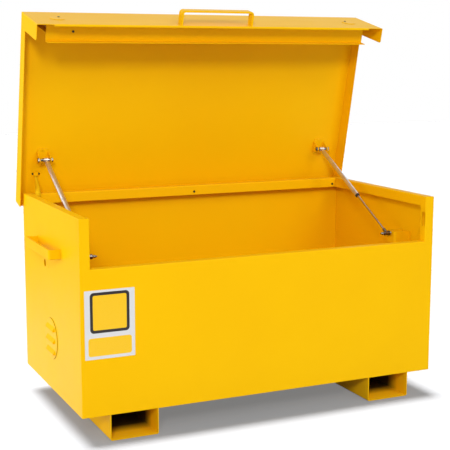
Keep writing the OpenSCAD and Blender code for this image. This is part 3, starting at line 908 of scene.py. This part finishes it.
@dataclass
class WeldRun:
    """Straight runs of weld that become one piece."""

    points: list[Vector] = field(default_factory=list)
    edges: list[tuple[int, int]] = field(default_factory=list)

    def add(self, path: Sequence[Vector], closed: bool = False) -> None:
        """Add one path.

        Args:
            path: Corner points of the path.
            closed: Whether the last point joins the first.
        """
        first = len(self.points)
        self.points.extend(path)
        self.edges.extend((first + i, first + i + 1) for i in range(len(path) - 1))
        if closed:
            self.edges.append((first + len(path) - 1, first))

    def build(self, name: str, radius: float, body: Body, finish: Finish) -> None:
        """Lay the beads and let them ride on a body.

        Args:
            name: Name of the piece.
            radius: Radius of the bead.
            body: The body that it rides on.
            finish: Its finish.
        """
        made = grow(name, BeadTree, self.points, self.edges, {"Radius": radius, "Finish": finish.material()})
        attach(made, body.value)


def upright(ends: Span, heights: Span) -> list[Span]:
    """The corners of an upright rectangle, in order around it, as place and height."""
    return [(ends[0], heights[0]), (ends[1], heights[0]), (ends[1], heights[1]), (ends[0], heights[1])]


@dataclass
class BodyShell(Assembly):
    """The painted sheet body with skids, handles, vents, brackets and sign plate."""

    bar_heights: Span = (0.537, 0.567)
    bar_thick: float = 0.006
    feet: Span = (-0.128, 0.149)
    handle_bead: float = 0.0016
    skid_faces: Span = (0.38, 0.537)
    skid_bead: float = 0.002
    stitch_length: float = 0.05
    stitch_pitch: float = 0.098
    stitches_each_way: int = 3
    lip_screws: tuple[float, ...] = (-0.582, 0.0, 0.582)
    lip_screw_z: float = 0.667
    lip_screw_radius: float = 0.0042
    lip_face: float = 0.2835

    def build(self) -> None:
        """Dress the body and add its welds."""
        self.dress(FINISHES.paint, "front_panel", "rear_panel", *both("side_panel"))
        self.dress(FINISHES.shaded_skid_paint, *both("skid"))
        self.dress(FINISHES.rim_shaded_vent_paint, *both("vent_cover"))
        self.dress(FINISHES.inner_paint, "floor_pan")
        self.dress(FINISHES.bar_paint, *both("side_handle", "lower_bracket"), *hinges("body_leaf"))
        self.dress(FINISHES.sign, "sign_plate")
        self.dress(FINISHES.zinc, *hinges("pin"))
        self.handle_welds()
        self.skid_welds()
        self.screws()

    def screws(self) -> None:
        """Dark screws in the rear lip."""
        points = [SIZES.world(x, self.lip_face, self.lip_screw_z) for x in self.lip_screws]
        made = grow("rear_lip_screws", ScrewTree, points, [], {
            "Head Radius": self.lip_screw_radius, "Lean": (0.0, -1.0, 0.0),
            # Painted shade: the near-black rubber on the hexagons stands for the dark of the recesses.
            "Finish": FINISHES.black.material(), "Recess Finish": FINISHES.rubber.material(),
        })
        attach(made, Body.BOX.value)

    def handle_welds(self) -> None:
        """Weld beads around the feet of the side handles."""
        run = WeldRun()
        for side in Side:
            x = side.value * SIZES.half_width
            for foot, inward in zip(self.feet, (1, -1)):
                ends = (foot, foot + inward * self.bar_thick)
                run.add([SIZES.world(x, y, z) for y, z in upright(ends, self.bar_heights)], closed=True)
        run.build("side_handle_welds", self.handle_bead, Body.BOX, FINISHES.bar_paint)

    def skid_welds(self) -> None:
        """Stitch welds along both top edges of the skids."""
        run = WeldRun()
        half = self.stitch_length / 2
        for side in Side:
            for x in self.skid_faces:
                for step in range(-self.stitches_each_way, self.stitches_each_way + 1):
                    y = step * self.stitch_pitch
                    run.add([SIZES.world(side.value * x, y + end, SIZES.skid_top) for end in (-half, half)])
        run.build("skid_welds", self.skid_bead, Body.BOX, FINISHES.paint)


@dataclass
class LidShell(Assembly):
    """The painted lid with its lock channel, handle, hinge leaves and strut brackets."""

    handle_middle: float = -0.013
    handle_half: float = 0.132
    bar_thick: float = 0.006
    bar_heights: Span = (0.512, 0.542)
    handle_bead: float = 0.0016
    screw_x: float = -0.501
    screw_y: float = -0.298
    shelf: float = 0.561
    saddle_x: float = -0.570
    saddle_y: float = 0.232
    saddle_half: float = 0.0105
    saddle_thick: float = 0.0015
    bracket_x: float = 0.548
    bracket_ys: Span = (0.1463, 0.1963)
    bracket_thick: float = 0.003

    def build(self) -> None:
        """Dress the lid and add its welds and screws."""
        self.dress(FINISHES.paint, "lid_shell")
        self.dress(FINISHES.inner_paint, "lock_channel", "channel_cover")
        self.dress(FINISHES.bar_paint, "lid_handle", "strap_saddle")
        self.dress(FINISHES.bar_paint, *hinges("lid_leaf"), *both("upper_bracket"))
        self.handle_welds()
        self.screws()

    def handle_welds(self) -> None:
        """Weld beads around the feet of the lid handle."""
        run = WeldRun()
        for sign in (-1, 1):
            outer = self.handle_middle + sign * self.handle_half
            ends = (outer, outer - sign * self.bar_thick)
            corners = [SIZES.opened(x, SIZES.lid_front, z) for x, z in upright(ends, self.bar_heights)]
            run.add(corners, closed=True)
        run.build("lid_handle_welds", self.handle_bead, Body.LID, FINISHES.bar_paint)

    def screws(self) -> None:
        """Dark screws in the channel cover and the strap saddle, painted ones in the strut brackets."""
        down = SIZES.opened_turn() @ Vector((0.0, 0.0, -1.0))
        points = [SIZES.opened(self.screw_x, self.screw_y, self.shelf)]
        painted = []
        for sign in (-1, 1):
            x = self.saddle_x + sign * self.saddle_half
            points.append(SIZES.opened(x, self.saddle_y, SIZES.lid_under - self.saddle_thick))
            for y in self.bracket_ys:
                painted.append(SIZES.opened(sign * self.bracket_x, y, SIZES.lid_under - self.bracket_thick))
        made = grow("lid_screws", ScrewTree, points, [], {
            "Lean": tuple(down),
            # Painted shade: the near-black rubber on the hexagons stands for the dark of the recesses.
            "Finish": FINISHES.black.material(), "Recess Finish": FINISHES.rubber.material(),
        })
        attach(made, Body.LID.value)
        paint = FINISHES.bar_paint.material()
        held = grow("bracket_screws", ScrewTree, painted, [], {
            "Lean": tuple(down), "Finish": paint, "Recess Finish": paint,
        })
        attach(held, Body.LID.value)


@dataclass
class LidStrap(Assembly):
    """The flat strap that follows the lid at the left rear corner, clear of the lid's inside by its play."""

    top_x: float = -0.570
    top_y: float = 0.226
    leave_y: float = 0.241
    hang_y: float = 0.262
    hang: float = 0.022
    play: float = 0.0003
    foot_x: float = -0.582
    foot_y: float = 0.2812
    over_z: float = 0.692
    foot_z: float = 0.669
    bow: Point = (0.0, 0.003, 0.004)
    narrow: float = 0.007
    width: float = 0.018
    widening: float = 1.5
    thick: float = 0.0014
    twist: float = 0.5
    steps: int = 36

    def path(self) -> list[Vector]:
        """Find the strap's middle line: flat on the lid, a cubic curve to the rim, and down the rear lip.

        Returns:
            Points from the saddle to the rear lip.
        """
        flat = SIZES.lid_under - self.thick - self.play
        top = SIZES.opened(self.top_x, self.top_y, flat)
        leave = SIZES.opened(self.top_x, self.leave_y, flat)
        away = SIZES.opened(self.top_x, self.hang_y, flat - self.hang)
        over = SIZES.world(self.foot_x, self.foot_y, self.over_z)
        bow = over + Vector(self.bow)
        points = [top]
        for i in range(self.steps + 1):
            t = i / self.steps
            u = 1.0 - t
            points.append(leave * u ** 3 + away * 3 * u * u * t + bow * 3 * u * t * t + over * t ** 3)
        points.append(SIZES.world(self.foot_x, self.foot_y, self.foot_z))
        return points

    def build(self) -> None:
        """Sweep the ribbon along its path, with a slight twist near the saddle."""
        points = self.path()
        mesh = bmesh.new()
        uv = mesh.loops.layers.uv.new("UVMap")
        rings = []
        total = len(points) - 1
        for i, point in enumerate(points):
            ahead = (points[min(i + 1, total)] - points[max(i - 1, 0)]).normalized()
            share = i / total
            turn = self.twist * math.sin(math.pi * share) ** 2
            across = Matrix.Rotation(turn, 3, ahead) @ Vector((1.0, 0.0, 0.0))
            normal = ahead.cross(across).normalized()
            half = across * (self.narrow + (self.width - self.narrow) * min(1.0, self.widening * share)) / 2
            deep = normal * self.thick / 2
            rings.append([mesh.verts.new(point + half * a + deep * b) for a, b in SQUARE])
        for i in range(total):
            for k in range(len(SQUARE)):
                n = (k + 1) % len(SQUARE)
                made = mesh.faces.new((rings[i][k], rings[i][n], rings[i + 1][n], rings[i + 1][k]))
                made.smooth = k in (0, 2)
                u = k / 2 % 1
                spots = ((u, i), (u + 1, i), (u + 1, i + 1), (u, i + 1))
                for loop, (a, b) in zip(made.loops, spots):
                    loop[uv].uv = (a, b / total)
        mesh.faces.new(rings[0][::-1])
        mesh.faces.new(rings[-1])
        bmesh.ops.recalc_face_normals(mesh, faces=mesh.faces)
        data = bpy.data.meshes.new("strap")
        mesh.to_mesh(data)
        mesh.free()
        data.materials.append(FINISHES.webbing.material())
        strap = new_object("lid_strap_webbing", data)
        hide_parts("lid_strap")
        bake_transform(strap)
        LOG.info("the strap has %d faces", len(data.polygons))


@dataclass
class GasStruts(Assembly):
    """Both gas struts with their pins, seals, rods, sockets and studs."""

    def build(self) -> None:
        """Dress the struts."""
        self.dress(FINISHES.silver, *both("strut_tube"))
        self.dress(FINISHES.chrome, *both("strut_rod"))
        self.dress(FINISHES.rubber, *both("strut_seal"))
        self.dress(FINISHES.nickel, *both("strut_pin", "rod_socket"))
        self.dress(FINISHES.zinc, *both("ball_stud"))


@dataclass
class Locks(Assembly):
    """Lock cases, bolts and the round covers over the keyholes."""

    def build(self) -> None:
        """Dress the locks."""
        self.dress(FINISHES.zinc, *both("lock_case", "lock_bolt"))
        self.dress(FINISHES.bar_paint, *both("key_cover"))
        self.dress(FINISHES.black, *both("cover_rivet"))


@dataclass(frozen=True)
class Lamp:
    """One soft rectangular lamp aimed at a point, here the middle of the box."""

    name: str
    place: Point
    width: float
    height: float
    watts: float
    aim: Point = (0.0, 0.0, 0.6)

    def build(self) -> None:
        """Add the lamp to the scene."""
        light = bpy.data.lights.new(self.name, "AREA")
        light.shape = "RECTANGLE"
        light.size = self.width
        light.size_y = self.height
        light.energy = self.watts
        holder = new_object(self.name, light)
        holder.location = self.place
        holder.rotation_euler = (Vector(self.aim) - Vector(self.place)).to_track_quat("-Z", "Y").to_euler()


@dataclass(frozen=True)
class FloorLight:
    """A wide overhead light for the floor alone, which draws the soft shadow of the base and skids on it."""

    strength: float = 15.7
    spread: float = math.radians(34.0)
    lean: Point = (0.1, -0.5, -1.0)

    def build(self, floor: bpy.types.Object, base: Iterable[bpy.types.Object]) -> None:
        """Add the light and link it to the floor and to what shades it.

        Args:
            floor: The studio floor.
            base: The pieces next to the floor, which cast the shadow.
        """
        light = bpy.data.lights.new("overhead", "SUN")
        light.energy = self.strength
        light.angle = self.spread
        holder = new_object("overhead", light)
        holder.rotation_euler = Vector(self.lean).to_track_quat("-Z", "Y").to_euler()
        for role, pieces in (("receiver_collection", [floor]), ("blocker_collection", base)):
            group = bpy.data.collections.new(f"overhead_{role}")
            for piece in pieces:
                group.objects.link(piece)
            setattr(holder.light_linking, role, group)


@dataclass
class Studio:
    """White floor with a soft neutral shadow, white surroundings and soft lamps."""

    base: Sequence[bpy.types.Object]
    floor_half: float = 12.0
    floor_drop: float = 0.0005
    floor_colour: Colour = (0.12, 0.12, 0.12)
    seen_colour: Colour = (0.17, 0.172, 0.178)
    shadow_level: float = 0.19
    ambient: float = 0.545
    bright_floor: Span = (1.2, 2.8)
    dark_rise: Span = (0.1, 0.35)
    far_level: float = 0.2
    overhead: FloorLight = FloorLight()
    lamps: tuple[Lamp, ...] = (
        Lamp("key_left", (-3.2, -5.7, 3.6), width=1.2, height=1.2, watts=198.0),
        Lamp("key_right", (2.6, -6.3, 5.9), width=3.0, height=3.0, watts=160.0),
        Lamp("left_soft", (-2.9, 0.85, 1.0), width=2.0, height=1.6, watts=42.0),
    )

    def build(self) -> None:
        """Set the stage."""
        self.overhead.build(self.floor(), self.base)
        self.surroundings()
        for lamp in self.lamps:
            lamp.build()
        bpy.context.scene.view_settings.view_transform = "Standard"

    def seen(self, graph: Graph) -> Socket:
        """A value that is 1 for what the camera, a reflection or a clear material sees directly."""
        mirrored = graph.maths("MAXIMUM", graph.ray("Is Camera Ray"), graph.ray("Is Glossy Ray"))
        return graph.maths("MAXIMUM", mirrored, graph.ray("Is Transmission Ray"))

    def mirrored(self, graph: Graph, value: Socket, read: Span, levels: Span) -> Socket:
        """A level that is 1, but in a reflection follows the range that is read of a value."""
        level = graph.span(value, *read, *levels)
        return graph.span(graph.ray("Is Glossy Ray"), 0.0, 1.0, 1.0, level)

    def floor(self) -> bpy.types.Object:
        """Lay the floor: matt under its own light, and lifted where it is seen, so that shadows stay grey.

        Returns:
            The floor's object.
        """
        half = self.floor_half
        mesh = bpy.data.meshes.new("studio_floor")
        corners = [(half * x, half * y, -self.floor_drop) for x, y in SQUARE]
        mesh.from_pydata(corners, [], [(0, 1, 2, 3)])
        made = bpy.data.materials.new("studio_floor")
        graph = fresh_graph(made)
        seen = self.seen(graph)
        away = graph.add("ShaderNodeVectorMath", {0: graph.coordinates()}, 1, operation="LENGTH")
        level = self.mirrored(graph, away, self.bright_floor, (1.0, self.far_level))
        looks = graph.mix(level, (0.0, 0.0, 0.0), self.seen_colour)
        matt = graph.add("ShaderNodeBsdfDiffuse", {"Color": graph.mix(seen, self.floor_colour, looks)})
        lift = graph.maths("MULTIPLY", graph.maths("MULTIPLY", seen, self.shadow_level), level)
        glow = graph.add("ShaderNodeEmission", {"Strength": lift})
        lit = graph.add("ShaderNodeAddShader", {0: matt, 1: glow})
        graph.join(lit, graph.node("ShaderNodeOutputMaterial").inputs[0])
        mesh.materials.append(made)
        laid = new_object("studio_floor", mesh)
        return laid

    def surroundings(self) -> None:
        """Make the world white to look at, darker near the horizon in a reflection and dimmer as a light."""
        world = bpy.data.worlds.new("studio")
        graph = fresh_graph(world)
        way = graph.split(graph.coordinates("Generated"))
        level = self.mirrored(graph, way[2], self.dark_rise, (self.far_level, 1.0))
        strength = graph.span(self.seen(graph), 0.0, 1.0, self.ambient, level)
        back = graph.add("ShaderNodeBackground", {"Color": WHITE, "Strength": strength})
        graph.join(back, graph.node("ShaderNodeOutputWorld").inputs[0])
        bpy.context.scene.world = world


@dataclass(frozen=True)
class PhotoCamera:
    """The photograph's viewpoint, from a fit to the corners of the box."""

    place: Point = (-1.5363, -3.3427, 1.1694)
    heading: float = math.radians(24.775)
    pitch: float = math.radians(-9.099)
    roll: float = math.radians(-0.113)
    focal_pixels: float = 1077.6
    frame_pixels: float = 450.0
    sensor: float = 36.0
    reach: float = 100.0

    def build(self) -> None:
        """Add the camera and make it the scene's own."""
        forward = Vector((math.sin(self.heading) * math.cos(self.pitch),
                          math.cos(self.heading) * math.cos(self.pitch), math.sin(self.pitch)))
        level = Vector((math.cos(self.heading), -math.sin(self.heading), 0.0))
        down = forward.cross(level)
        right = level * math.cos(self.roll) + down * math.sin(self.roll)
        up = -(down * math.cos(self.roll) - level * math.sin(self.roll))
        data = bpy.data.cameras.new("photo_camera")
        data.sensor_width = self.sensor
        data.lens = self.focal_pixels * self.sensor / self.frame_pixels
        data.clip_end = self.reach
        holder = new_object("photo_camera", data)
        turn = Matrix((right, up, -forward)).transposed()
        holder.matrix_world = Matrix.Translation(Vector(self.place)) @ turn.to_4x4()
        bpy.context.scene.camera = holder


def plain(box: Iterable[Iterable[float]]) -> list[list[float]]:
    """The lowest and highest corner as plain lists."""
    return [[float(value) for value in corner] for corner in box]


def main() -> None:
    """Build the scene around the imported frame."""
    logging.basicConfig(level=logging.INFO, format="%(message)s")
    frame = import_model()
    nodes = frame["nodes"]
    PhotoCamera().build()
    Studio([nodes[name] for name in ("floor_pan", *both("skid"))]).build()
    for assembly in (BodyShell(nodes), LidShell(nodes), LidStrap(nodes), GasStruts(nodes), Locks(nodes)):
        assembly.build()
        LOG.info("%s done", type(assembly).__name__)


if __name__ == "__main__":
    main()
